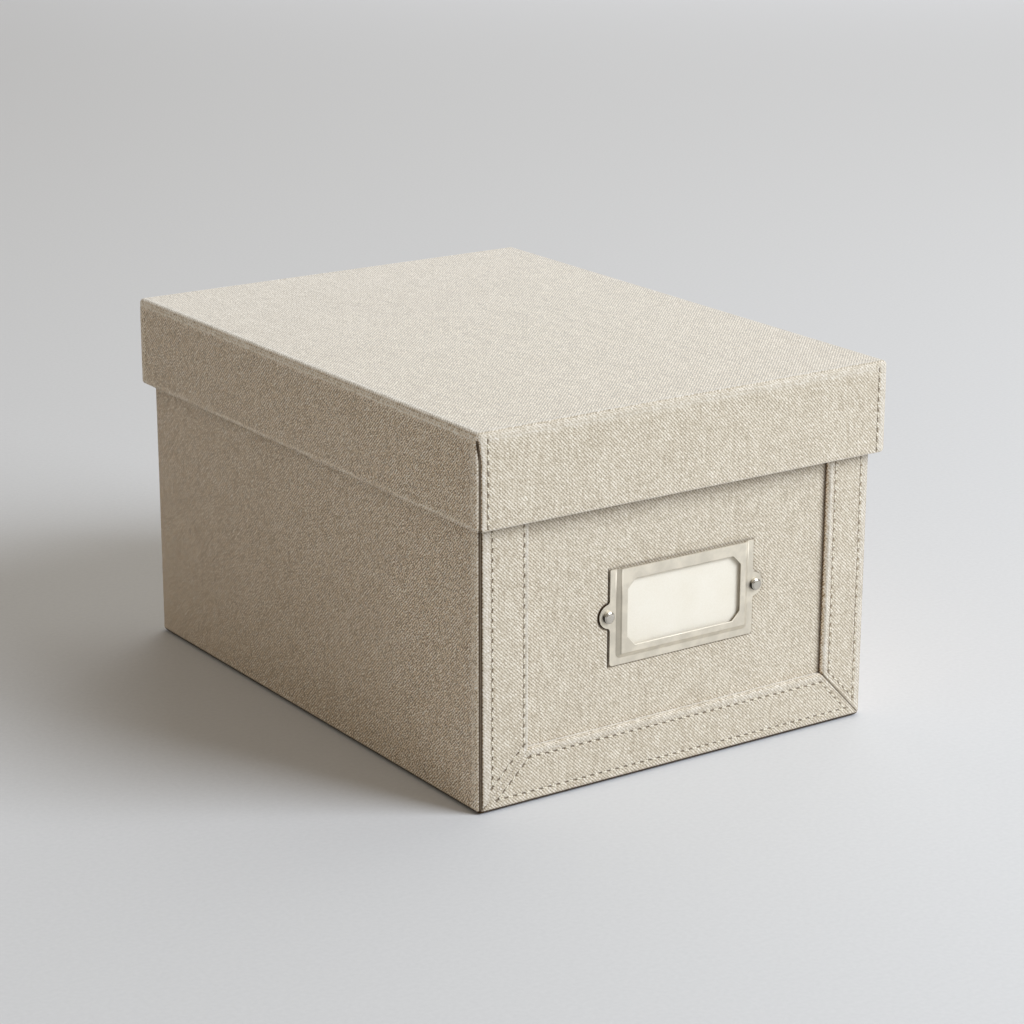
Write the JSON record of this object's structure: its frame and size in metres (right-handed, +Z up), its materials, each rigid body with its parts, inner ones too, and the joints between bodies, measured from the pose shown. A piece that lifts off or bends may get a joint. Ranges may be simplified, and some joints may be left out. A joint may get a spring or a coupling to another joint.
{
  "type": "lidded storage box",
  "caption": "Linen-covered board storage box with a lift-off lid, a stitched frame on its front and a metal label holder with a paper card.",
  "frame": {"origin": "bottom centre of the closed box, on the surface that it stands on", "axes": "+Z up, the front with the label holder faces -Y, +X to the right as seen from the front"},
  "size_m": [0.2074, 0.2812, 0.16],
  "materials": {
    "board": "grey bookbinding board, matt",
    "linen": "plain-woven natural linen, matt",
    "lining_paper": "uncoated ivory paper",
    "thread": "cotton sewing thread",
    "holder_metal": "satin nickel",
    "rivet_metal": "polished nickel",
    "card_paper": "smooth ivory card, blank"
  },
  "bodies": {
    "box": {"base_board": "board", "left_wall_board": "board", "right_wall_board": "board", "back_wall_board": "board", "front_wall_board": "board", "left_band_board": "board", "right_band_board": "board", "bottom_band_board": "board", "base_cover": "linen", "wrap_cover": "linen", "front_panel_cover": "linen", "left_band_cover": "linen", "right_band_cover": "linen", "bottom_band_cover": "linen", "floor_lining": "lining_paper", "left_lining": "lining_paper", "right_lining": "lining_paper", "back_lining": "lining_paper", "front_lining": "lining_paper", "frame_stitching": "thread", "label_holder": "holder_metal", "label_rivets": "rivet_metal", "rivet_washers": "rivet_metal"},
    "card": {"label_card": "card_paper"},
    "lid": {"lid_top_board": "board", "lid_left_board": "board", "lid_right_board": "board", "lid_front_board": "board", "lid_back_board": "board", "lid_cover": "linen", "lid_top_lining": "lining_paper", "lid_skirt_lining": "lining_paper", "lid_stitching": "thread"}
  },
  "joints": [
    {"name": "lid_lift", "type": "slide", "parent": "box", "child": "lid", "axis": [0, 0, 1], "range_m": [0, 0.12]},
    {"name": "card_slide", "type": "slide", "parent": "box", "child": "card", "axis": [0, 0, 1], "range_m": [0, 0.038]}
  ]
}
